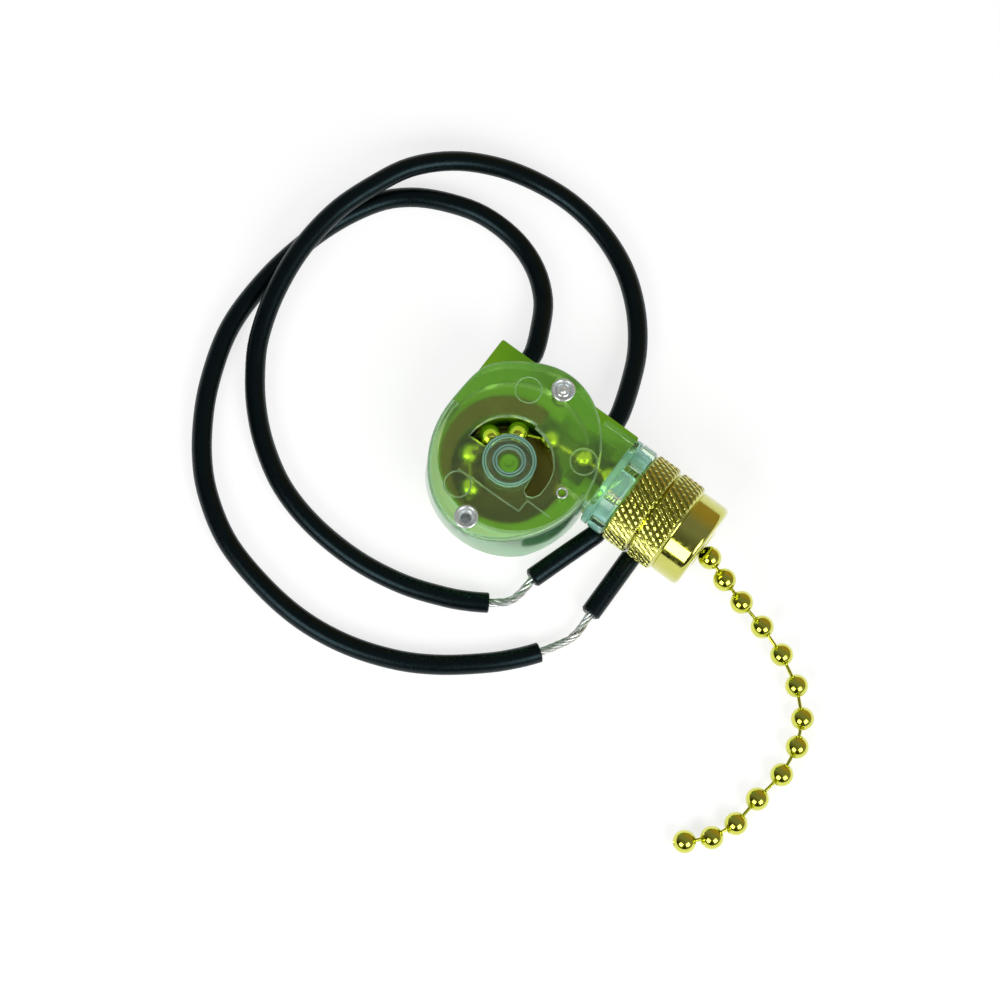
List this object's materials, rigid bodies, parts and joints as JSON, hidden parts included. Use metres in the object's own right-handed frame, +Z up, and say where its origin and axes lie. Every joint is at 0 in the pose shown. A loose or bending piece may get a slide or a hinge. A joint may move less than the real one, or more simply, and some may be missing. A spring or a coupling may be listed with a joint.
{
  "type": "pull-chain switch",
  "caption": "Round canopy pull-chain switch: clear cover on a green base, knurled brass nuts on a threaded neck, gold ball chain and black wire leads.",
  "frame": {"origin": "on the flat back of the base, under the middle of the round cover", "axes": "+X out along the threaded neck, +Y to the side where the two leads come out, +Z up through the cover"},
  "size_m": [0.1008, 0.073, 0.0139],
  "materials": {
    "green_plastic": "moulded, satin",
    "clear_plastic": "clear moulded plastic, glossy",
    "brown_plastic": "moulded, satin",
    "ivory_plastic": "moulded, satin",
    "plated_steel": "bright nickel plate",
    "spring_steel": "drawn wire",
    "brass": "polished, knurled on the nuts",
    "spring_copper": "rolled sheet",
    "gold_plate": "bright plated",
    "black_pvc": "extruded, satin",
    "tinned_copper": "tinned strands"
  },
  "bodies": {
    "housing": {"base": "green_plastic", "cover": "clear_plastic", "rivet_upper": "plated_steel", "rivet_lower": "plated_steel", "threaded_nipple": "brass", "terminal_left": "brass", "terminal_right": "brass", "return_spring": "spring_steel", "lead_left_core": "tinned_copper", "lead_right_core": "tinned_copper", "lead_left_insulation": "black_pvc", "lead_left_strands": "tinned_copper", "lead_left_slug": "black_pvc", "lead_right_insulation": "black_pvc", "lead_right_strands": "tinned_copper", "lead_right_slug": "black_pvc"},
    "chain": {"neck_bead_01": "gold_plate", "neck_bead_02": "gold_plate", "neck_bead_03": "gold_plate", "neck_bead_04": "gold_plate", "neck_bead_05": "gold_plate", "neck_bead_06": "gold_plate", "neck_bead_07": "gold_plate", "free_bead_01": "gold_plate", "free_bead_02": "gold_plate", "free_bead_03": "gold_plate", "free_bead_04": "gold_plate", "free_bead_05": "gold_plate", "free_bead_06": "gold_plate", "free_bead_07": "gold_plate", "free_bead_08": "gold_plate", "free_bead_09": "gold_plate", "free_bead_10": "gold_plate", "free_bead_11": "gold_plate", "free_bead_12": "gold_plate", "free_bead_13": "gold_plate"},
    "spool": {"spool": "brown_plastic", "wrap_bead_01": "gold_plate", "wrap_bead_02": "gold_plate", "wrap_bead_03": "gold_plate"},
    "contact_rotor": {"contact_rotor": "ivory_plastic", "contact_bridge": "spring_copper"},
    "locknut": {"locknut": "brass"},
    "cap_nut": {"cap_nut": "brass"}
  },
  "joints": [
    {"name": "spool_turn", "type": "hinge", "parent": "housing", "child": "spool", "pos_m": [0, -0.0013, 0.0066], "axis": [0, 0, -1], "range_deg": [0, 90], "stiffness_Nm_per_rad": 0.02, "deforming": ["return_spring"]},
    {"name": "chain_pull", "type": "slide", "parent": "housing", "child": "chain", "axis": [1, 0, 0], "range_m": [0, 0.00864]},
    {"name": "rotor_turn", "type": "hinge", "parent": "housing", "child": "contact_rotor", "pos_m": [0, -0.0013, 0.003], "axis": [0, 0, -1], "range_deg": [0, 90]},
    {"name": "locknut_turn", "type": "hinge", "parent": "housing", "child": "locknut", "pos_m": [0.0172, 0.0063, 0.00685], "axis": [1, 0, 0], "continuous": true},
    {"name": "cap_nut_turn", "type": "hinge", "parent": "housing", "child": "cap_nut", "pos_m": [0.0232, 0.0063, 0.00685], "axis": [1, 0, 0], "continuous": true}
  ],
  "couplings": [
    {"joint": "spool_turn", "follows": "chain_pull", "rad_per_m": 181.82},
    {"joint": "rotor_turn", "follows": "chain_pull", "rad_per_m": 181.82}
  ]
}
